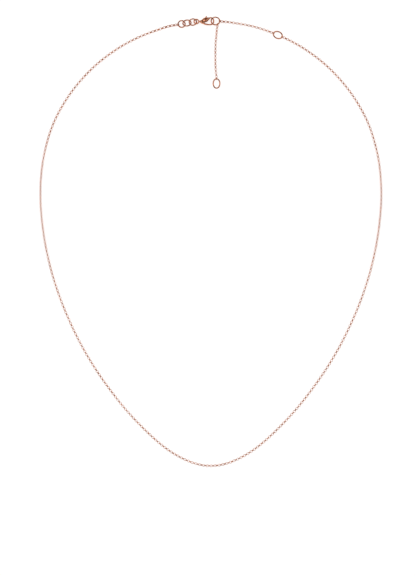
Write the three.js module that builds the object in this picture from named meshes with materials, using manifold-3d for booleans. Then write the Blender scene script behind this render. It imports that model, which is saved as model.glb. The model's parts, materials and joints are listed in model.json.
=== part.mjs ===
// Adjustable trace-chain necklace with a lobster clasp, lying flat in a closed loop.
// Millimetres, +Z up. The necklace lies on the plane z = 0 and is worn round the neck as one loop:
// the clasp and its connector rings are at +Y, the lowest point of the loop is at -Y.
//
// The fine trace chain is divided into short runs with a hinge gap between one run and the next.
// Each run is the tube that its links fill. Hinge lines cross both arms of the loop at equal heights
// in Y, so the loop stays closed when it folds.
import * as THREE from 'three';
import { mergeVertices } from 'three/addons/utils/BufferGeometryUtils.js';
import Module from 'manifold-3d';

const wasm = await Module();
wasm.setup();

// ---------- driving dimensions ----------
const CHAIN_RADIUS = 0.525;        // half the width of the trace chain
const HINGE_GAP = 0.3;             // clear space between the rounded ends of neighbouring runs
const RING_CLEARANCE = 0.12;       // clear space between a ring and the chain that ends on it
const FOLD_LINES = [70, 54, 38, 22, 6, -10, -26, -42, -58, -74]; // Y of each hinge line
const TUBE_STEP = 4;               // length of one straight facet of a chain run

const RING_WIRE = 0.24;            // wire radius of every jump ring
const HARDWARE_Z = 1.26;           // height of the clasp's centre plane above the surface
const AXIS_TILT = THREE.MathUtils.degToRad(9); // the connector rings' line rises towards the clasp

// The clasp, in its own plane, from the middle of its eye.
const EYE = new THREE.Vector3(-5.62, 85.6, HARDWARE_Z); // centre of the clasp's eye
const EYE_LONG = 0.9;              // the oval eye, to the middle of its wire
const EYE_SHORT = 0.84;
const EYE_WIRE = 0.25;
const HOOK_CENTRE = new THREE.Vector2(5.38, 0.15); // centre of the hook's bow
const HOOK_OUTER = 1.62;           // outer radius of the bow
const HOOK_INNER = 1.1;
const HOOK_THICKNESS = 0.7;
const MOUTH_CENTRE = new THREE.Vector2(4.95, -0.5); // the housing's mouth is a hollow arc
const MOUTH_RADIUS = 1.75;
const BELLY_THICKNESS = 2.4;       // the housing over the pivot and the spring
const CHEEK_THICKNESS = 1.6;       // the housing beside the gate
const SLOT_WIDTH = 0.86;           // the lever's slot through the housing
const SLOT_CORNER = new THREE.Vector2(2.0, -0.7);
const PIVOT = new THREE.Vector2(2.75, -0.05); // lever pin
const PIN_RADIUS = 0.22;
const PIN_BORE = 0.26;
const PIN_LENGTH = 2.1;
const LEVER_THICKNESS = 0.7;
const LEVER_HUB = 0.42;

const SIZE_RING_AT = new THREE.Vector3(26.1, 80.48, CHAIN_RADIUS);
const END_RING_AT = new THREE.Vector3(2.22, 61.6, (CHAIN_RADIUS + RING_WIRE) / 2);
const OVAL_LONG = 1.8;             // the two oval rings, to the middle of the wire
const OVAL_SHORT = 1.3;

// The middle ring joins the clasp, the right-hand chain and the extender chain.
const MIDDLE_RING_AT = new THREE.Vector3(1.79, 85.79, HARDWARE_Z);
const MIDDLE_RADIUS = 1.65;
const MIDDLE_TILT = 38;

// Connector rings from the clasp outwards: distance from the eye's centre, radius, tilt and pitch.
const CONNECTOR_RINGS = [
  { name: 'connector_ring_3', from_eye: 1.4, radius: 1.42, tilt: 41, pitch: 0, drop: 0 },
  { name: 'connector_ring_2', from_eye: 3.72, radius: 1.58, tilt: -35, pitch: 0, drop: 0 },
  { name: 'connector_ring_1', from_eye: 5.82, radius: 1.35, tilt: 27, pitch: -8, drop: 0.3 },
];

// Route of the right arm of the loop, from the middle ring to the lowest point. The left arm mirrors
// it, and only its first point differs, because that arm ends on connector ring 1.
const RIGHT_START = [4.2, 85.65, 1.05];
const RIGHT_RISE = [8.5, 85.25, 0.6];
const LEFT_START = [-13.6, 84.35, 0.78];
const HALF_ROUTE = [
  [18.0, 83.4], [29.0, 79.2], [38.5, 73.7], [47.2, 66.5], [55.2, 57.0], [61.5, 45.6], [65.2, 32.6],
  [66.4, 19.7], [65.7, 7.2], [63.65, -5.3], [60.25, -17.7], [55.4, -30.2], [49.15, -42.7],
  [41.1, -55.25], [31.05, -67.8], [19.1, -79.3], [9.0, -85.4],
];
const LOWEST_POINT = [0, -87.38];

// Route of the extender chain, from the middle ring to the end ring.
const EXTENDER_ROUTE = [
  [2.55, 84.2, 0.56], [2.25, 81.5, CHAIN_RADIUS], [1.9, 77.5, CHAIN_RADIUS],
  [1.75, 73, CHAIN_RADIUS], [1.8, 68.5, CHAIN_RADIUS], [2.2, 63.85, CHAIN_RADIUS],
];
const EXTENDER_RUNS = 4;

// ---------- materials ----------
const ROSE_GOLD = 0xc98a6e;
const SPRING_STEEL = 0xb9bcc0;

function metal(color, roughness) {
  return new THREE.MeshStandardMaterial({ color, roughness, metalness: 1 });
}

// ---------- solids ----------
function toSolid(geometry) {
  const bare = geometry.clone();
  bare.deleteAttribute('normal');
  bare.deleteAttribute('uv');
  const merged = mergeVertices(bare, 1e-4);
  return new wasm.Manifold(new wasm.Mesh({
    numProp: 3,
    vertProperties: new Float32Array(merged.attributes.position.array),
    triVerts: new Uint32Array(merged.index.array),
  }));
}

function toGeometry(solid) {
  const mesh = solid.getMesh();
  const geometry = new THREE.BufferGeometry();
  geometry.setAttribute('position', new THREE.BufferAttribute(mesh.vertProperties, 3));
  geometry.setIndex(new THREE.BufferAttribute(mesh.triVerts, 1));
  geometry.computeVertexNormals();
  return geometry;
}

function joined(...geometries) {
  return geometries.map(toSolid).reduce((whole, next) => whole.add(next));
}

// A jump ring lying in the XY plane: round wire bent to an oval. The flats of the eight-sided wire
// face straight up and down.
function ringGeometry(longRadius, shortRadius, wire = RING_WIRE) {
  const ringSteps = 24;
  const wireSides = 8;
  const geometry = new THREE.TorusGeometry(longRadius, wire, wireSides, ringSteps);
  const position = geometry.attributes.position;
  const halfSide = Math.PI / wireSides;
  for (let side = 0; side <= wireSides; side++) {
    for (let step = 0; step <= ringSteps; step++) {
      const around = (step % ringSteps) / ringSteps * 2 * Math.PI;
      const across = (side % wireSides) / wireSides * 2 * Math.PI + halfSide;
      const out = wire * Math.cos(across);
      position.setXYZ(
        side * (ringSteps + 1) + step,
        (longRadius + out) * Math.cos(around),
        (shortRadius + out) * Math.sin(around),
        wire * Math.sin(across),
      );
    }
  }
  return geometry;
}

// Part of a longer curve, between two shares of its length.
class CurveSlice extends THREE.Curve {
  constructor(whole, from, to) {
    super();
    this.whole = whole;
    this.from = from;
    this.to = to;
  }

  getPoint(t) {
    return this.whole.getPointAt(THREE.MathUtils.lerp(this.from, this.to, t));
  }
}

// One run of chain along part of a route: an eight-sided tube with a rounded nose at each end.
function chainRun(route, from, to) {
  const noseShare = CHAIN_RADIUS / route.getLength();
  const slice = new CurveSlice(route, from + noseShare, to - noseShare);
  const section = new THREE.Shape();
  section.absarc(0, 0, CHAIN_RADIUS, 0, 2 * Math.PI, false);
  const tube = new THREE.ExtrudeGeometry(section, {
    curveSegments: 4,
    steps: Math.max(2, Math.ceil(slice.getLength() / TUBE_STEP)),
    extrudePath: slice,
  });
  const nose = new THREE.SphereGeometry(CHAIN_RADIUS * 0.98, 8, 6);
  const noses = [0, 1].map((end) => {
    const at = slice.getPoint(end);
    return nose.clone().translate(at.x, at.y, at.z);
  });
  return toGeometry(joined(tube, ...noses));
}

// ---------- clasp ----------
function outline(points) {
  return new THREE.Shape(points.map(([x, y]) => new THREE.Vector2(x, y)));
}

// Extrudes a flat outline along Z, half of the thickness to each side of z = 0, with bevelled edges.
function plate(shape, thickness, bevel) {
  const geometry = new THREE.ExtrudeGeometry(shape, {
    depth: thickness - 2 * bevel,
    curveSegments: 16,
    bevelEnabled: bevel > 0,
    bevelThickness: bevel,
    bevelSize: bevel,
    bevelOffset: -bevel,
    bevelSegments: 2,
  });
  return geometry.translate(0, 0, bevel - thickness / 2);
}

function pinShape(radius, length) {
  return new THREE.CylinderGeometry(radius, radius, length, 12)
    .rotateX(Math.PI / 2)
    .translate(PIVOT.x, PIVOT.y, 0);
}

// Housing with the eye, neck and fixed hook. Thin cheeks reach past the belly along the gate, and
// the lever's slot opens upwards and towards the hook.
function claspBody() {
  const belly = plate(outline([
    [1.12, -0.36], [1.6, -0.42], [2.1, -0.74], [2.7, -1.03], [3.2, -1.17], [3.24, -0.7],
    [3.26, 0.0], [3.5, 0.5], [3.65, 1.3], [3.0, 1.08], [2.2, 0.6], [1.6, 0.4], [1.12, 0.36],
  ]), BELLY_THICKNESS, 0.22);

  const mouthLow = THREE.MathUtils.degToRad(188);
  const mouthHigh = THREE.MathUtils.degToRad(97);
  const cheekOutline = outline([[2.2, 0.6], [2.1, -0.74], [2.7, -1.03], [3.2, -1.17]]);
  cheekOutline.absarc(MOUTH_CENTRE.x, MOUTH_CENTRE.y, MOUTH_RADIUS, mouthLow, mouthHigh, true);
  for (const [x, y] of [[4.84, 1.5], [4.75, 1.72], [4.3, 1.68], [3.7, 1.46], [3.0, 1.08]]) {
    cheekOutline.lineTo(x, y);
  }
  const cheeks = plate(cheekOutline, CHEEK_THICKNESS, 0.12);

  const armAngle = THREE.MathUtils.degToRad(-106);
  const outerTip = THREE.MathUtils.degToRad(94); // the tip's face follows the swing of the gate's end
  const innerTip = THREE.MathUtils.degToRad(80);
  const hook = new THREE.Shape();
  hook.moveTo(2.7, -0.95);
  hook.absarc(HOOK_CENTRE.x, HOOK_CENTRE.y, HOOK_OUTER, armAngle, outerTip, false);
  hook.absarc(HOOK_CENTRE.x, HOOK_CENTRE.y, HOOK_INNER, innerTip, armAngle, true);
  hook.lineTo(3.3, -0.75);
  hook.lineTo(2.7, -0.72);
  const hookBand = plate(hook, HOOK_THICKNESS, 0.1);

  const eye = ringGeometry(EYE_LONG, EYE_SHORT, EYE_WIRE);
  const slotReach = 4;
  const slot = new THREE.BoxGeometry(slotReach, slotReach, SLOT_WIDTH)
    .translate(SLOT_CORNER.x + slotReach / 2, SLOT_CORNER.y + slotReach / 2, 0);
  const bore = pinShape(PIN_BORE, BELLY_THICKNESS + 1);
  const housing = joined(belly, cheeks).subtract(toSolid(slot)).subtract(toSolid(bore));
  return toGeometry(housing.add(toSolid(hookBand)).add(toSolid(eye)));
}

// Sprung gate of the clasp: a hub round the pin, a bar to the hook's tip, and a thumb tab.
function claspLever() {
  const arms = plate(outline([
    [2.9, -0.38], [3.75, -0.25], [4.5, 0.22], [5.3, 1.0], [5.44, 1.3], [5.2, 1.72], [4.8, 1.5],
    [4.3, 1.14], [3.76, 1.14], [4.2, 2.04], [4.06, 2.2], [3.8, 2.14], [3.2, 1.2], [2.45, 0.2],
  ]), LEVER_THICKNESS, 0.06);
  const hub = new THREE.CylinderGeometry(LEVER_HUB, LEVER_HUB, LEVER_THICKNESS, 24)
    .rotateX(Math.PI / 2)
    .translate(PIVOT.x, PIVOT.y, 0);
  const bore = pinShape(PIN_BORE, LEVER_THICKNESS + 1);
  return toGeometry(joined(arms, hub).subtract(toSolid(bore)));
}

// Leaf spring in the floor of the slot, which lifts the gate bar back against the hook's tip.
function leverSpring() {
  const path = new THREE.CatmullRomCurve3([
    new THREE.Vector3(2.13, 0.4, 0),
    new THREE.Vector3(2.1, 0, 0),
    new THREE.Vector3(2.2, -0.4, 0),
    new THREE.Vector3(2.5, -0.6, 0),
    new THREE.Vector3(2.9, -0.62, 0),
    new THREE.Vector3(3.2, -0.56, 0),
  ]);
  const section = outline([[-0.25, -0.03], [0.25, -0.03], [0.25, 0.03], [-0.25, 0.03]]);
  return new THREE.ExtrudeGeometry(section, { steps: 14, extrudePath: path });
}

// ---------- assembly ----------
const necklace = new THREE.Group();

function add(parent, name, geometry, material) {
  const mesh = new THREE.Mesh(geometry, material);
  mesh.name = name;
  parent.add(mesh);
  return mesh;
}

// Tilt turns a ring about its long axis and pitch raises or lowers its ends, both in degrees. Yaw, in
// radians, turns the long axis from +X.
function addRing(name, at, longRadius, shortRadius, tilt, pitch, yaw) {
  const ring = add(necklace, name, ringGeometry(longRadius, shortRadius), metal(ROSE_GOLD, 0.22));
  const [tiltAngle, pitchAngle] = [tilt, pitch].map(THREE.MathUtils.degToRad);
  ring.position.copy(at);
  ring.rotation.set(tiltAngle, pitchAngle, yaw, 'ZYX');
}

const clasp = new THREE.Group();
clasp.position.copy(EYE);
necklace.add(clasp);
add(clasp, 'clasp_body', claspBody(), metal(ROSE_GOLD, 0.2));
add(clasp, 'clasp_lever', claspLever(), metal(ROSE_GOLD, 0.24));
add(clasp, 'lever_pin', pinShape(PIN_RADIUS, PIN_LENGTH), metal(ROSE_GOLD, 0.3));
add(clasp, 'lever_spring', leverSpring(), metal(SPRING_STEEL, 0.35));

for (const { name, from_eye, radius, tilt, pitch, drop } of CONNECTOR_RINGS) {
  const at = EYE.clone();
  at.x -= from_eye * Math.cos(AXIS_TILT);
  at.y -= from_eye * Math.sin(AXIS_TILT);
  at.z -= drop;
  addRing(name, at, radius, radius, tilt, pitch, AXIS_TILT);
}
addRing('middle_ring', MIDDLE_RING_AT, MIDDLE_RADIUS, MIDDLE_RADIUS, MIDDLE_TILT, 0, 0);

// The loop's whole route, down the right arm and up the left.
const flat = ([x, y]) => new THREE.Vector3(x, y, CHAIN_RADIUS);
const mirrored = HALF_ROUTE.map(([x, y]) => [-x, y]).reverse();
const loopRoute = new THREE.CatmullRomCurve3([
  new THREE.Vector3(...RIGHT_START), new THREE.Vector3(...RIGHT_RISE),
  ...HALF_ROUTE.map(flat), flat(LOWEST_POINT), ...mirrored.map(flat),
  new THREE.Vector3(...LEFT_START),
], false, 'catmullrom', 0.5);
loopRoute.arcLengthDivisions = 2400;

const sizeRingSlope = shareNearest(loopRoute, SIZE_RING_AT);
const sizeRingDirection = loopRoute.getTangentAt(sizeRingSlope);
addRing('size_ring', SIZE_RING_AT, OVAL_LONG, OVAL_SHORT, 10, 0,
  Math.atan2(sizeRingDirection.y, sizeRingDirection.x));

// The end ring's far end lies on the surface, and the chain holds its near end at its own height.
const endRingRise = Math.asin((CHAIN_RADIUS - RING_WIRE) / 2 / OVAL_LONG);
addRing('end_ring', END_RING_AT, OVAL_LONG, OVAL_SHORT, 0, -THREE.MathUtils.radToDeg(endRingRise),
  Math.PI / 2);

// Share of a route's length at the point nearest to a place.
function shareNearest(route, place) {
  const trials = 4000;
  let best = 0;
  for (let trial = 0; trial <= trials; trial++) {
    const share = trial / trials;
    if (route.getPointAt(share).distanceTo(place) < route.getPointAt(best).distanceTo(place)) {
      best = share;
    }
  }
  return best;
}

// Share of the loop's length at which one arm crosses a hinge line. Y only falls, or only rises,
// between the two shares given.
function crossing(y, upper, lower) {
  let [above, below] = [upper, lower];
  for (let halving = 0; halving < 40; halving++) {
    const middle = (above + below) / 2;
    if (loopRoute.getPointAt(middle).y > y) {
      above = middle;
    } else {
      below = middle;
    }
  }
  return (above + below) / 2;
}

const loopLength = loopRoute.getLength();
const halfGap = HINGE_GAP / 2 / loopLength;
const lowest = shareNearest(loopRoute, flat(LOWEST_POINT));
const rightCuts = FOLD_LINES.map((y) => crossing(y, 0, lowest));
const leftCuts = FOLD_LINES.map((y) => crossing(y, 1, lowest));
const twoDigits = (number) => String(number).padStart(2, '0');

function addChain(name, from, to, route = loopRoute) {
  add(necklace, name, chainRun(route, from, to), metal(ROSE_GOLD, 0.28));
}

const besideSizeRing = (OVAL_LONG + RING_WIRE + RING_CLEARANCE) / loopLength;
addChain('right_chain_top', 0, sizeRingSlope - besideSizeRing);
addChain('right_chain_01', sizeRingSlope + besideSizeRing, rightCuts[0] - halfGap);
addChain('left_chain_01', leftCuts[0] + halfGap, 1);
for (let run = 1; run < FOLD_LINES.length; run++) {
  const number = twoDigits(run + 1);
  addChain(`right_chain_${number}`, rightCuts[run - 1] + halfGap, rightCuts[run] - halfGap);
  addChain(`left_chain_${number}`, leftCuts[run] + halfGap, leftCuts[run - 1] - halfGap);
}
addChain('bottom_chain', rightCuts.at(-1) + halfGap, leftCuts.at(-1) - halfGap);

// The extender chain hangs from the middle ring in equal runs.
const extenderRoute = new THREE.CatmullRomCurve3(
  EXTENDER_ROUTE.map((point) => new THREE.Vector3(...point)), false, 'catmullrom', 0.5);
const extenderGap = HINGE_GAP / 2 / extenderRoute.getLength();
for (let run = 0; run < EXTENDER_RUNS; run++) {
  const from = run === 0 ? 0 : run / EXTENDER_RUNS + extenderGap;
  const to = run === EXTENDER_RUNS - 1 ? 1 : (run + 1) / EXTENDER_RUNS - extenderGap;
  addChain(`extender_chain_${run + 1}`, from, to, extenderRoute);
}

export default necklace;
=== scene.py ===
"""Rose gold trace-chain necklace, lying flat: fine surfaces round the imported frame. Metres, +Z up."""

import json
import math
import random

import bmesh
import bpy
import numpy as np
from mathutils import Matrix, Vector


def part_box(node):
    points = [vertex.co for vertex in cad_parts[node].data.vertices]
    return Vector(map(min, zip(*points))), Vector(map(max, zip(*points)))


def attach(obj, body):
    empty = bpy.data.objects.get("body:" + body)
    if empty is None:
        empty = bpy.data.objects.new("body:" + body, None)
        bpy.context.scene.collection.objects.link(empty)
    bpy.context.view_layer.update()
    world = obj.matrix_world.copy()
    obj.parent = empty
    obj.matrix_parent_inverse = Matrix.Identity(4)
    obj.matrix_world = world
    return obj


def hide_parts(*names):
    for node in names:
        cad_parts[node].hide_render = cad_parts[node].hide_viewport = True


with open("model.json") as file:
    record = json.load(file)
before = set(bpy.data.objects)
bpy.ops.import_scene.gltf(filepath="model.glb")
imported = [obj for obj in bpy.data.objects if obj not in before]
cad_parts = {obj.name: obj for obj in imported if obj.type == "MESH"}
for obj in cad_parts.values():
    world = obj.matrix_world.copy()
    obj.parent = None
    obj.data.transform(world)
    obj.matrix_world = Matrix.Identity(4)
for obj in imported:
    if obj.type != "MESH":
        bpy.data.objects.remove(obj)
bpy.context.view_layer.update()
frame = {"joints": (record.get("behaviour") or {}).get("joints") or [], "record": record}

MM = 0.001


# ---------- camera ----------
# Straight above the necklace, which sits a little high in the frame.
PICTURE_HEIGHT = 224.6 * MM        # what the long side of the picture covers at the surface
LENS = 100.0
SENSOR = 36.0
CAMERA_AT = Vector((-1.1 * MM, -18.1 * MM, PICTURE_HEIGHT * LENS / SENSOR))

camera_data = bpy.data.cameras.new("camera")
camera_data.lens = LENS
camera_data.sensor_width = SENSOR
camera_data.clip_start = 0.01
camera_data.clip_end = 10
camera = bpy.data.objects.new("camera", camera_data)
camera.location = CAMERA_AT
bpy.context.scene.collection.objects.link(camera)
bpy.context.scene.camera = camera


# ---------- routes of the chain, the same points as the frame's chain runs follow ----------
CHAIN_RADIUS = 0.525
RIGHT_START = [4.2, 85.65, 1.05]
RIGHT_RISE = [8.5, 85.25, 0.6]
LEFT_START = [-13.6, 84.35, 0.78]
HALF_ROUTE = [
    [18.0, 83.4], [29.0, 79.2], [38.5, 73.7], [47.2, 66.5], [55.2, 57.0], [61.5, 45.6], [65.2, 32.6],
    [66.4, 19.7], [65.7, 7.2], [63.65, -5.3], [60.25, -17.7], [55.4, -30.2], [49.15, -42.7],
    [41.1, -55.25], [31.05, -67.8], [19.1, -79.3], [9.0, -85.4],
]
LOWEST_POINT = [0, -87.38]
EXTENDER_ROUTE = [
    [2.55, 84.2, 0.56], [2.25, 81.5, CHAIN_RADIUS], [1.9, 77.5, CHAIN_RADIUS],
    [1.75, 73, CHAIN_RADIUS], [1.8, 68.5, CHAIN_RADIUS], [2.2, 63.85, CHAIN_RADIUS],
]

right_arm = [[x, y, CHAIN_RADIUS] for x, y in HALF_ROUTE]
left_arm = [[-x, y, z] for x, y, z in reversed(right_arm)]
LOOP_ROUTE = [
    RIGHT_START, RIGHT_RISE, *right_arm, [*LOWEST_POINT, CHAIN_RADIUS], *left_arm, LEFT_START,
]

# ---------- sizes, in millimetres ----------
LINK_PITCH = 0.78
LINK_WIRE = 0.065                  # half the wire's thickness, in the plane of the link
LINK_BAND_SIDES = 0.21             # half its width across that plane, along the flattened sides
LINK_BAND_ENDS = 0.08              # and round the narrow ends, where the next links hook
LINK_HALF_LENGTH = 0.465           # to the middle of the wire
LINK_HALF_WIDTH = 0.45
RING_WIRE = 0.24
OVAL_LONG, OVAL_SHORT = 1.8, 1.3
MIDDLE_RADIUS = 1.65
MIDDLE_TILT = math.radians(38)
AXIS_TILT = math.radians(9)
PIVOT = (2.75, -0.05)              # the lever pin, from the middle of the clasp's eye


def node_middle(node):
    """Middle of a CAD node's box, in millimetres."""
    low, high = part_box(node)
    return np.array((low + high) / 2) / MM


def smooth_route(points, steps=40):
    """Dense rows along a uniform Catmull-Rom curve through the given rows of numbers."""
    points = np.array(points, float)
    before = 2 * points[0] - points[1]
    after = 2 * points[-1] - points[-2]
    padded = np.vstack([before, points, after])
    dense = []
    for a, b, c, d in zip(padded, padded[1:], padded[2:], padded[3:]):
        for t in np.linspace(0, 1, steps, endpoint=False):
            dense.append(
                b + 0.5 * t * (c - a)
                + t * t * (a - 2.5 * b + 2 * c - 0.5 * d)
                + t * t * t * (1.5 * (b - c) + 0.5 * (d - a))
            )
    dense.append(points[-1])
    return np.array(dense)


class Path:
    """A polyline that gives the place and direction at a distance along it."""

    def __init__(self, points):
        self.points = np.array(points, float)
        gaps = np.linalg.norm(np.diff(self.points, axis=0), axis=1)
        self.distances = np.concatenate([[0], np.cumsum(gaps)])
        self.length = self.distances[-1]

    def at(self, distance):
        return np.array([np.interp(distance, self.distances, axis) for axis in self.points.T])

    def direction(self, distance, reach=0.5):
        step = self.at(distance + reach) - self.at(distance - reach)
        return step / np.linalg.norm(step)

    def nearest(self, place):
        return self.distances[np.argmin(np.linalg.norm(self.points - place, axis=1))]


# ---------- meshes ----------
def new_object(name, vertices, faces, smooth=True):
    mesh = bpy.data.meshes.new(name)
    mesh.from_pydata([tuple(v) for v in vertices], [], [tuple(f) for f in faces])
    if smooth:
        mesh.shade_smooth()
    mesh.validate()
    obj = bpy.data.objects.new(name, mesh)
    bpy.context.scene.collection.objects.link(obj)
    return obj


def tube_points(centres, outs, ups, half_widths, half_heights, sides, fullness=1.0):
    """Points of a tube: at each centre an oval spanned by its out and up directions.

    A fullness below one squares up the oval."""
    angles = np.linspace(0, 2 * np.pi, sides, endpoint=False)
    out_share, up_share = np.cos(angles), np.sin(angles)
    out_share = np.sign(out_share) * np.abs(out_share) ** fullness
    up_share = np.sign(up_share) * np.abs(up_share) ** fullness
    across = out_share[None, :, None] * outs[:, None, :] * half_widths[:, None, None]
    along_up = up_share[None, :, None] * ups[:, None, :] * half_heights[:, None, None]
    return (centres[:, None, :] + across + along_up).reshape(-1, 3)


def tube_faces(sections, sides, closed, offset=0):
    faces = []
    last = sections if closed else sections - 1
    for i in range(last):
        j = (i + 1) % sections
        for k in range(sides):
            m = (k + 1) % sides
            faces.append([offset + i * sides + k, offset + j * sides + k,
                          offset + j * sides + m, offset + i * sides + m])
    return faces


def finish_piece(obj, body, nodes, material):
    obj.data.materials.clear()
    obj.data.materials.append(material)
    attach(obj, body)
    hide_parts(*nodes)
    return obj


body_of_node = {
    node: body for body, nodes in frame["record"]["behaviour"]["bodies"].items() for node in nodes
}


# ---------- materials ----------
def polished_metal(name, base, deep, roughness, grain, scratch):
    """Polished metal with slight colour clouding, uneven polish, fine scratches and a soft grain."""
    material = bpy.data.materials.new(name)
    material.use_nodes = True
    nodes, links = material.node_tree.nodes, material.node_tree.links
    shader = nodes["Principled BSDF"]
    shader.inputs["Metallic"].default_value = 1.0
    shader.inputs["Specular Tint"].default_value = (0.5, 0.3, 0.22, 1)

    place = nodes.new("ShaderNodeTexCoord")
    clouds = nodes.new("ShaderNodeTexNoise")
    clouds.inputs["Scale"].default_value = 900
    clouds.inputs["Detail"].default_value = 3
    links.new(place.outputs["Object"], clouds.inputs["Vector"])

    tint = nodes.new("ShaderNodeValToRGB")
    tint.color_ramp.elements[0].position = 0.3
    tint.color_ramp.elements[0].color = (*deep, 1)
    tint.color_ramp.elements[1].position = 0.7
    tint.color_ramp.elements[1].color = (*base, 1)
    links.new(clouds.outputs["Fac"], tint.inputs["Fac"])
    links.new(tint.outputs["Color"], shader.inputs["Base Color"])

    polish = nodes.new("ShaderNodeTexNoise")
    polish.inputs["Scale"].default_value = 5200
    polish.inputs["Detail"].default_value = 4
    links.new(place.outputs["Object"], polish.inputs["Vector"])
    spread = nodes.new("ShaderNodeMapRange")
    spread.inputs["From Min"].default_value = 0.3
    spread.inputs["From Max"].default_value = 0.7
    spread.inputs["To Min"].default_value = roughness * 0.75
    spread.inputs["To Max"].default_value = roughness * 1.35
    links.new(polish.outputs["Fac"], spread.inputs["Value"])
    links.new(spread.outputs["Result"], shader.inputs["Roughness"])

    stretch = nodes.new("ShaderNodeMapping")
    stretch.inputs["Scale"].default_value = (1, 14, 5)
    stretch.inputs["Rotation"].default_value = (0.3, 0.2, 0.6)
    links.new(place.outputs["Object"], stretch.inputs["Vector"])
    scratches = nodes.new("ShaderNodeTexNoise")
    scratches.inputs["Scale"].default_value = 3500
    scratches.inputs["Detail"].default_value = 2
    links.new(stretch.outputs["Vector"], scratches.inputs["Vector"])
    scratch_bump = nodes.new("ShaderNodeBump")
    scratch_bump.inputs["Strength"].default_value = scratch
    scratch_bump.inputs["Distance"].default_value = 0.000004
    links.new(scratches.outputs["Fac"], scratch_bump.inputs["Height"])
    grain_bump = nodes.new("ShaderNodeBump")
    grain_bump.inputs["Strength"].default_value = grain
    grain_bump.inputs["Distance"].default_value = 0.000006
    links.new(polish.outputs["Fac"], grain_bump.inputs["Height"])
    links.new(scratch_bump.outputs["Normal"], grain_bump.inputs["Normal"])
    links.new(grain_bump.outputs["Normal"], shader.inputs["Normal"])
    return material


ROSE_LIGHT = (0.78, 0.34, 0.20)
ROSE_DEEP = (0.62, 0.25, 0.13)
CHAIN_LIGHT = (0.82, 0.34, 0.175)
CHAIN_DEEP = (0.66, 0.245, 0.115)
chain_gold = polished_metal("rose_gold_chain", CHAIN_LIGHT, CHAIN_DEEP, 0.20, 0.20, 0.25)
ring_gold = polished_metal("rose_gold_rings", ROSE_LIGHT, ROSE_DEEP, 0.16, 0.15, 0.35)
clasp_gold = polished_metal("rose_gold_clasp", ROSE_LIGHT, ROSE_DEEP, 0.19, 0.35, 0.35)
spring_steel = polished_metal("spring_steel", (0.62, 0.63, 0.65), (0.50, 0.51, 0.53), 0.30, 0.3, 0.6)


# ---------- chain links ----------
LINK_STEPS = 24
LINK_SIDES = 10
SOLDER_SWELL, SOLDER_SPREAD = 0.12, 0.16   # how much thicker the wire is where it is soldered shut


def link_template():
    """One oval link round its own middle: long side along X, face in the XY plane."""
    straight = LINK_HALF_LENGTH - LINK_HALF_WIDTH
    perimeter = 4 * straight + 2 * np.pi * LINK_HALF_WIDTH
    centres, outs, wires = [], [], []
    for step in range(LINK_STEPS):
        run = step / LINK_STEPS * perimeter
        solder = abs(run - straight) / SOLDER_SPREAD
        wires.append(1 + SOLDER_SWELL * math.exp(-solder * solder))
        if run < 2 * straight:
            centres.append([straight - run, LINK_HALF_WIDTH, 0])
            outs.append([0, 1, 0])
            continue
        run -= 2 * straight
        if run < np.pi * LINK_HALF_WIDTH:
            angle = np.pi / 2 + run / LINK_HALF_WIDTH
            middle = -straight
        else:
            run -= np.pi * LINK_HALF_WIDTH
            if run < 2 * straight:
                centres.append([-straight + run, -LINK_HALF_WIDTH, 0])
                outs.append([0, -1, 0])
                continue
            angle = -np.pi / 2 + (run - 2 * straight) / LINK_HALF_WIDTH
            middle = straight
        out = [math.cos(angle), math.sin(angle), 0]
        centres.append([middle + LINK_HALF_WIDTH * out[0], LINK_HALF_WIDTH * out[1], 0])
        outs.append(out)
    centres, outs, wires = np.array(centres), np.array(outs), np.array(wires)
    ups = np.tile([0.0, 0.0, 1.0], (LINK_STEPS, 1))
    bands = LINK_BAND_ENDS + (LINK_BAND_SIDES - LINK_BAND_ENDS) * outs[:, 1] ** 2
    return tube_points(centres, outs, ups, LINK_WIRE * wires, bands * wires, LINK_SIDES)


LINK = link_template()
LINK_FACES = np.array(tube_faces(LINK_STEPS, LINK_SIDES, closed=True))
RING_TO_LINK = LINK_HALF_LENGTH - LINK_WIRE - RING_WIRE  # from a ring's wire to its link's middle
FOLD_STRETCH = 1.08                # of the two links on either side of a fold
UNTWIST = 7.0                      # links over which a turned end link's roll dies away
PLAY_DEGREES = 4
play = random.Random(7)


def link_places(path, borders, start_roll, end_roll):
    """Middle distance, roll and stretch of every link on a path from one ring's wire to another's.

    Two links hook into each other exactly at each border, which is where a joint folds the chain.
    They are a little longer than the others, which leaves them room to fold.
    Rolls alternate by a quarter turn. The first and last links are turned so that the rings pass
    through them, and the links between untwist from that over a few pitches."""
    reach = RING_TO_LINK - LINK_PITCH / 2
    edges = [reach, *borders, path.length - reach]
    lengths = np.diff(edges)
    counts = [math.ceil(length / LINK_PITCH) for length in lengths]
    if sum(counts) % 2 == 0:
        counts[int(np.argmax(lengths))] += 1
    middles, stretches = [], []
    for start, length, count in zip(edges, lengths, counts):
        middles += [start + length * (i + 0.5) / count for i in range(count)]
        stretches += [FOLD_STRETCH, *[1] * (count - 2), FOLD_STRETCH]
    last = len(middles) - 1
    places = []
    for number, distance in enumerate(middles):
        roll = math.pi / 2 * ((number + 1) % 2)
        from_start = start_roll * math.exp(-number / UNTWIST)
        from_end = end_roll * math.exp(-(last - number) / UNTWIST)
        jitter = 0
        if 1 < number < last - 1:
            jitter = math.radians(play.uniform(-PLAY_DEGREES, PLAY_DEGREES))
        places.append((distance, roll + from_start + from_end + jitter, stretches[number]))
    return places


def place_link(path, distance, roll, stretch):
    along = path.direction(distance)
    side = np.cross([0, 0, 1], along)
    side /= np.linalg.norm(side)
    up = np.cross(along, side)
    width = math.cos(roll) * side + math.sin(roll) * up
    normal = np.cross(along, width)
    return path.at(distance) + LINK @ np.array([stretch * along, width, normal])


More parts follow.
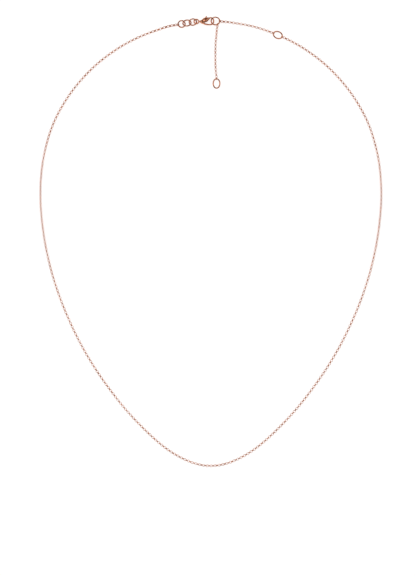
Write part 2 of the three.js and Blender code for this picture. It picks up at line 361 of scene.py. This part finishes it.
def build_chain(path, borders, names, start_roll=0.0, end_roll=0.0):
    """Links along a path, gathered into one piece for each CAD run between the borders."""
    gathered = {name: [] for name in names}
    for distance, roll, stretch in link_places(path, borders, start_roll, end_roll):
        run = int(np.searchsorted(borders, distance))
        gathered[names[run]].append(place_link(path, distance, roll, stretch))
    for name, links in gathered.items():
        vertices = np.concatenate(links) * MM
        faces = np.concatenate([LINK_FACES + i * len(LINK) for i in range(len(links))])
        piece = new_object(f"{name}_links", vertices, faces)
        finish_piece(piece, body_of_node[name], [name], chain_gold)


joint_place = {j["name"]: np.array(j["pos_m"]) / MM for j in frame["joints"]}
folds = sorted(name for name in joint_place if name.startswith("fold_"))
fold_heights = [joint_place[name][1] for name in folds]

loop = smooth_route(LOOP_ROUTE)
middle_at = node_middle("middle_ring")
size_at = node_middle("size_ring")
end_at = node_middle("end_ring")
ring_1_at = node_middle("connector_ring_1")

whole = Path(loop)
size_distance = whole.nearest(size_at)
size_direction = whole.direction(size_distance)
size_near = size_at - OVAL_LONG * size_direction
size_far = size_at + OVAL_LONG * size_direction

RING_1_RADIUS = 1.35
RING_1_TILT = math.radians(27)
RING_1_PITCH = math.radians(-8)
ring_1_axis = np.array([
    math.cos(AXIS_TILT) * math.cos(RING_1_PITCH),
    math.sin(AXIS_TILT) * math.cos(RING_1_PITCH),
    -math.sin(RING_1_PITCH),
])

short_of_ring = OVAL_LONG + 0.5
before_size = loop[whole.distances < size_distance - short_of_ring]
after_size = loop[whole.distances > size_distance + short_of_ring]
top_path = Path([middle_at + [MIDDLE_RADIUS, 0, 0], *before_size, size_near])
build_chain(top_path, [], ["right_chain_top"], start_roll=MIDDLE_TILT)

arm_path = Path([size_far, *after_size, ring_1_at - RING_1_RADIUS * ring_1_axis])
lowest = np.argmin(arm_path.points[:, 1])
right_heights = arm_path.points[:lowest, 1]
left_heights = arm_path.points[lowest:, 1]
right_borders = [arm_path.distances[np.argmax(right_heights < y)] for y in fold_heights]
left_borders = [arm_path.distances[lowest + np.argmax(left_heights > y)] for y in fold_heights]
numbers = [f"{i + 1:02d}" for i in range(len(folds))]
build_chain(
    arm_path,
    [*right_borders, *reversed(left_borders)],
    [
        *[f"right_chain_{n}" for n in numbers],
        "bottom_chain",
        *[f"left_chain_{n}" for n in reversed(numbers)],
    ],
    end_roll=-RING_1_TILT,
)

hang_angle = math.radians(-60)
hang_point = middle_at + MIDDLE_RADIUS * np.array([
    math.cos(hang_angle),
    math.sin(hang_angle) * math.cos(MIDDLE_TILT),
    math.sin(hang_angle) * math.sin(MIDDLE_TILT),
])
END_RING_RISE = math.asin((CHAIN_RADIUS - RING_WIRE) / 2 / OVAL_LONG)
end_hold = end_at + OVAL_LONG * np.array([0, math.cos(END_RING_RISE), math.sin(END_RING_RISE)])
extender_path = Path([hang_point, *smooth_route(EXTENDER_ROUTE), end_hold])
extender_borders = [
    extender_path.nearest(joint_place[name])
    for name in ("extender_sway_upper", "extender_bend", "extender_sway_lower")
]
build_chain(extender_path, extender_borders, [f"extender_chain_{i}" for i in range(1, 5)])


# ---------- jump rings ----------
FILED_DEPTH, FILED_SPREAD = 0.05, 0.16       # the flat that filing leaves, as a share of the wire
GROOVE_DEPTH, GROOVE_SPREAD = 0.07, 0.045    # the seam itself


def build_ring(node, long_radius, short_radius, tilt=0.0, pitch=0.0, yaw=0.0, seam=2.0):
    """A soldered jump ring: round wire, a little flatter at the seam, where it was filed."""
    steps, sides = 72, 16
    around = np.linspace(0, 2 * np.pi, steps, endpoint=False)
    centres = np.stack([long_radius * np.cos(around), short_radius * np.sin(around), 0 * around], 1)
    outs = np.stack([short_radius * np.cos(around), long_radius * np.sin(around), 0 * around], 1)
    outs /= np.linalg.norm(outs, axis=1)[:, None]
    from_seam = np.angle(np.exp(1j * (around - seam)))
    filed = FILED_DEPTH * np.exp(-(from_seam / FILED_SPREAD) ** 2)
    groove = GROOVE_DEPTH * np.exp(-(from_seam / GROOVE_SPREAD) ** 2)
    wire = RING_WIRE * (1 - filed - groove)
    ups = np.tile([0.0, 0.0, 1.0], (steps, 1))
    vertices = tube_points(centres, outs, ups, wire, wire, sides)
    turn = Matrix.Rotation(yaw, 3, "Z") @ Matrix.Rotation(pitch, 3, "Y") @ Matrix.Rotation(tilt, 3, "X")
    vertices = (vertices @ np.array(turn).T + node_middle(node)) * MM
    piece = new_object(f"{node}_wire", vertices, tube_faces(steps, sides, closed=True))
    finish_piece(piece, body_of_node[node], [node], ring_gold)


build_ring("connector_ring_1", RING_1_RADIUS, RING_1_RADIUS, RING_1_TILT, RING_1_PITCH, AXIS_TILT,
           seam=2.4)
build_ring("connector_ring_2", 1.58, 1.58, math.radians(-35), 0, AXIS_TILT, seam=1.3)
build_ring("connector_ring_3", 1.42, 1.42, math.radians(41), 0, AXIS_TILT, seam=-1.2)
build_ring("middle_ring", MIDDLE_RADIUS, MIDDLE_RADIUS, MIDDLE_TILT, seam=1.2)
size_yaw = math.atan2(size_direction[1], size_direction[0])
build_ring("size_ring", OVAL_LONG, OVAL_SHORT, math.radians(10), 0, size_yaw, seam=1.7)
build_ring("end_ring", OVAL_LONG, OVAL_SHORT, 0, -END_RING_RISE, math.pi / 2, seam=0.5)


# ---------- lobster clasp, made in millimetres round the middle of its eye ----------
HOOK_CENTRE = (5.38, 0.15)
HOOK_MIDDLE = 1.36                 # to the middle of the hook's wire
EYE_LONG, EYE_SHORT, EYE_WIRE = 0.9, 0.84, 0.25
MOUTH_CENTRE, MOUTH_RADIUS = (4.95, -0.5), 1.75
SLOT_CORNER, SLOT_END, SLOT_HALF_WIDTH = (2.04, -0.66), 5.08, 0.43
HUB_RADIUS, HUB_LENGTH = 0.42, 0.7
BORE_RADIUS = 0.26
PIN_RADIUS, PIN_HALF_LENGTH = 0.22, 1.2
LEAF_HALF_THICKNESS, LEAF_HALF_WIDTH = 0.03, 0.24
THROUGH = 4                        # longer than anything that it cuts through
FILL_STEPS = 8                     # rows filled in between two that are given
BELLY_VOXEL, BODY_VOXEL, LEVER_VOXEL = 0.04, 0.032, 0.028
clasp_at = node_middle("lever_pin") - [*PIVOT, 0]


def flat_tube(points, half_widths, half_heights, sides=20, fullness=1.0):
    """A tube with capped ends along points in the XY plane, with its own width and height at each."""
    points = np.array([[x, y, 0] for x, y in points], float)
    ahead = np.gradient(points, axis=0)
    ahead /= np.linalg.norm(ahead, axis=1)[:, None]
    outs = np.stack([-ahead[:, 1], ahead[:, 0], 0 * ahead[:, 0]], 1)
    ups = np.tile([0.0, 0.0, 1.0], (len(points), 1))
    vertices = tube_points(points, outs, ups, np.array(half_widths), np.array(half_heights), sides,
                           fullness)
    faces = tube_faces(len(points), sides, closed=False)
    faces.append(list(range(sides))[::-1])
    faces.append([(len(points) - 1) * sides + k for k in range(sides)])
    return vertices, faces


def add_solid(name, vertices, faces):
    obj = new_object(name, vertices, faces)
    mesh = bmesh.new()
    mesh.from_mesh(obj.data)
    bmesh.ops.recalc_face_normals(mesh, faces=mesh.faces)
    mesh.to_mesh(obj.data)
    mesh.free()
    return obj


def object_from(mesh, name):
    data = bpy.data.meshes.new(name)
    mesh.to_mesh(data)
    mesh.free()
    obj = bpy.data.objects.new(name, data)
    bpy.context.scene.collection.objects.link(obj)
    return obj


def add_cylinder(name, radius, length, x, y, sides=48):
    mesh = bmesh.new()
    bmesh.ops.create_cone(mesh, cap_ends=True, segments=sides, radius1=radius, radius2=radius,
                          depth=length, matrix=Matrix.Translation((x, y, 0)))
    return object_from(mesh, name)


def add_box(name, low, high):
    mesh = bmesh.new()
    bmesh.ops.create_cube(mesh, size=1)
    low, high = np.array(low), np.array(high)
    for vertex in mesh.verts:
        vertex.co = Vector((low + high) / 2 + np.array(vertex.co) * (high - low))
    return object_from(mesh, name)


def apply_modifiers(obj):
    evaluated = obj.evaluated_get(bpy.context.evaluated_depsgraph_get())
    mesh = bpy.data.meshes.new_from_object(evaluated)
    obj.modifiers.clear()
    obj.data = mesh


def join_parts(parts):
    """Puts several solids into the first one's mesh, and the voxel remesh then makes them one."""
    mesh = bmesh.new()
    for part in parts:
        mesh.from_mesh(part.data)
    mesh.to_mesh(parts[0].data)
    mesh.free()
    for part in parts[1:]:
        bpy.data.objects.remove(part)
    return parts[0]


def remesh(obj, voxel, smoothing):
    modifier = obj.modifiers.new("remesh", "REMESH")
    modifier.mode = "VOXEL"
    modifier.voxel_size = voxel
    modifier.use_smooth_shade = True
    if smoothing:
        smooth = obj.modifiers.new("smooth", "SMOOTH")
        smooth.factor = 0.5
        smooth.iterations = smoothing
    apply_modifiers(obj)


def cut(obj, tool):
    modifier = obj.modifiers.new("cut", "BOOLEAN")
    modifier.operation = "DIFFERENCE"
    modifier.solver = "EXACT"
    modifier.object = tool
    apply_modifiers(obj)
    bpy.data.objects.remove(tool)


def place_clasp_piece(obj, node, material):
    obj.data.transform(Matrix.Scale(MM, 4) @ Matrix.Translation(Vector(clasp_at)))
    obj.data.shade_smooth()
    finish_piece(obj, body_of_node[node], [node], material)


def build_clasp_body():
    steps, sides = 72, 20
    around = np.linspace(0, 2 * np.pi, steps, endpoint=False)
    centres = np.stack([EYE_LONG * np.cos(around), EYE_SHORT * np.sin(around), 0 * around], 1)
    outs = np.stack([np.cos(around), np.sin(around), 0 * around], 1)
    ups = np.tile([0.0, 0.0, 1.0], (steps, 1))
    wire = np.full(steps, EYE_WIRE)
    eye = add_solid("eye", tube_points(centres, outs, ups, wire, wire, sides),
                    tube_faces(steps, sides, closed=True))

    # x, y, half width in the plane, half height: from the neck through the belly to the cheeks' tip
    belly_rows = smooth_route([
        [1.0, 0.0, 0.28, 0.26], [1.3, 0.0, 0.33, 0.33], [1.6, -0.01, 0.45, 0.47],
        [1.9, -0.02, 0.63, 0.68], [2.25, -0.03, 0.8, 0.92], [2.7, 0.03, 0.99, 1.12],
        [3.2, 0.2, 1.15, 1.18], [3.7, 0.5, 1.12, 1.06], [4.15, 0.86, 0.88, 0.86],
        [4.5, 1.16, 0.58, 0.66], [4.78, 1.42, 0.3, 0.5],
    ], FILL_STEPS)
    belly = add_solid("belly", *flat_tube(belly_rows[:, :2], belly_rows[:, 2], belly_rows[:, 3], 40,
                                          fullness=0.8))
    remesh(belly, BELLY_VOXEL, 2)
    cut(belly, add_cylinder("mouth", MOUTH_RADIUS, THROUGH, *MOUTH_CENTRE, sides=96))

    # the hook's arm, then its bow, which tapers towards the tip
    arm = [[2.5, -0.45, 0.22, 0.5], [2.95, -0.78, 0.28, 0.8], [3.5, -1.0, 0.28, 0.72],
           [4.1, -1.13, 0.27, 0.58], [4.74, -1.2, 0.26, 0.5]]
    for degrees in (-90, -65, -40, -15, 10, 35, 60, 78, 91):
        angle = math.radians(degrees)
        taper = (degrees + 90) / 180
        arm.append([
            HOOK_CENTRE[0] + HOOK_MIDDLE * math.cos(angle),
            HOOK_CENTRE[1] + HOOK_MIDDLE * math.sin(angle),
            0.26 - 0.01 * taper,
            0.45 - 0.12 * taper,
        ])
    arm_rows = smooth_route(arm, FILL_STEPS)
    hook = add_solid("hook", *flat_tube(arm_rows[:, :2], arm_rows[:, 2], arm_rows[:, 3], 24))

    body = join_parts([eye, belly, hook])
    body.name = "clasp_body_cast"
    remesh(body, BODY_VOXEL, 4)
    slot_low = (*SLOT_CORNER, -SLOT_HALF_WIDTH)
    cut(body, add_box("slot", slot_low, (SLOT_END, 3, SLOT_HALF_WIDTH)))
    place_clasp_piece(body, "clasp_body", clasp_gold)


def build_clasp_lever():
    # x, y, half width in the plane, half height: the gate bar, then the thumb tab
    bar = smooth_route([
        [2.75, -0.05, 0.38, 0.35], [3.25, 0.08, 0.46, 0.35], [3.8, 0.4, 0.6, 0.35],
        [4.3, 0.8, 0.52, 0.35], [4.77, 1.13, 0.41, 0.34], [5.12, 1.36, 0.32, 0.32],
        [5.36, 1.52, 0.25, 0.28],
    ], 10)
    gate = add_solid("gate", *flat_tube(bar[:, :2], bar[:, 2], bar[:, 3], 24))
    horn = smooth_route([
        [2.75, 0.1, 0.36, 0.35], [3.2, 0.85, 0.32, 0.35], [3.55, 1.38, 0.27, 0.34],
        [3.82, 1.8, 0.23, 0.32], [3.96, 2.03, 0.19, 0.27], [4.02, 2.14, 0.09, 0.16],
    ], FILL_STEPS)
    tab = add_solid("tab", *flat_tube(horn[:, :2], horn[:, 2], horn[:, 3], 24))
    hub = add_cylinder("hub", HUB_RADIUS, HUB_LENGTH, *PIVOT)
    lever = join_parts([gate, tab, hub])
    lever.name = "clasp_lever_cast"
    remesh(lever, LEVER_VOXEL, 4)
    cut(lever, add_cylinder("bore", BORE_RADIUS, 2, *PIVOT))
    place_clasp_piece(lever, "clasp_lever", clasp_gold)


def build_lever_pin():
    """A riveted pin whose ends are peened into low domes."""
    half, radius = PIN_HALF_LENGTH, PIN_RADIUS
    profile = [(0, half), (0.1, half - 0.01), (0.17, half - 0.05), (radius, half - 0.13),
               (radius, 0.6), (radius, 0)]
    profile += [(r, -z) for r, z in reversed(profile[:-1])]
    sides = 32
    rows = profile[1:-1]
    vertices = [(PIVOT[0], PIVOT[1], half)]
    for r, z in rows:
        for k in range(sides):
            angle = 2 * math.pi * k / sides
            vertices.append((PIVOT[0] + r * math.cos(angle), PIVOT[1] + r * math.sin(angle), z))
    vertices.append((PIVOT[0], PIVOT[1], -half))
    faces = tube_faces(len(rows), sides, closed=False, offset=1)
    last = len(vertices) - 1
    for k in range(sides):
        m = (k + 1) % sides
        faces.append([0, 1 + k, 1 + m])
        faces.append([last, last - sides + m, last - sides + k])
    pin = add_solid("lever_pin_rivet", vertices, faces)
    place_clasp_piece(pin, "lever_pin", clasp_gold)


def build_lever_spring():
    leaf = smooth_route([
        [x, y, LEAF_HALF_THICKNESS, LEAF_HALF_WIDTH]
        for x, y in ((2.13, 0.4), (2.1, 0), (2.2, -0.4), (2.5, -0.6), (2.9, -0.62), (3.2, -0.56))
    ], FILL_STEPS)
    spring = add_solid("lever_spring_leaf", *flat_tube(leaf[:, :2], leaf[:, 2], leaf[:, 3], 12))
    place_clasp_piece(spring, "lever_spring", spring_steel)


build_clasp_body()
build_clasp_lever()
build_lever_pin()
build_lever_spring()


# ---------- floor and studio light ----------
PAPER_GLOW = 0.78
WORLD_STRENGTH = 0.10


def build_floor():
    half = 3.0
    corners = [(-half, -half, 0), (half, -half, 0), (half, half, 0), (-half, half, 0)]
    floor = new_object("floor", corners, [(0, 1, 2, 3)], smooth=False)
    floor.location.z = -0.00002
    paper = bpy.data.materials.new("floor_paper")
    paper.use_nodes = True
    shader = paper.node_tree.nodes["Principled BSDF"]
    shader.inputs["Base Color"].default_value = (0.6, 0.6, 0.6, 1)
    shader.inputs["Emission Color"].default_value = (1, 1, 1, 1)
    shader.inputs["Emission Strength"].default_value = PAPER_GLOW
    shader.inputs["Roughness"].default_value = 0.9
    shader.inputs["Specular IOR Level"].default_value = 0.1
    floor.data.materials.append(paper)


def add_softbox(name, at, target, width, height, power):
    light = bpy.data.lights.new(name, "AREA")
    light.shape = "RECTANGLE"
    light.size = width
    light.size_y = height
    light.energy = power
    lamp = bpy.data.objects.new(name, light)
    lamp.location = at
    toward = Vector(target) - Vector(at)
    lamp.rotation_mode = "QUATERNION"
    lamp.rotation_quaternion = toward.to_track_quat("-Z", "Y")
    bpy.context.scene.collection.objects.link(lamp)


build_floor()
add_softbox("key_softbox", (-0.30, 0.38, 1.15), (0, 0, 0), 1.1, 0.9, 4.6)
add_softbox("fill_softbox", (0.95, 0.1, 0.7), (0, 0, 0), 0.5, 1.4, 2.2)
add_softbox("low_softbox", (-0.1, -1.1, 0.6), (0, 0, 0), 1.1, 0.35, 1.1)
add_softbox("side_softbox", (-1.1, -0.1, 0.45), (0, 0, 0), 0.6, 0.4, 1.2)

world = bpy.data.worlds.new("studio")
world.use_nodes = True
world.node_tree.nodes["Background"].inputs["Color"].default_value = (1, 1, 1, 1)
world.node_tree.nodes["Background"].inputs["Strength"].default_value = WORLD_STRENGTH
bpy.context.scene.world = world
bpy.context.scene.view_settings.view_transform = "Standard"
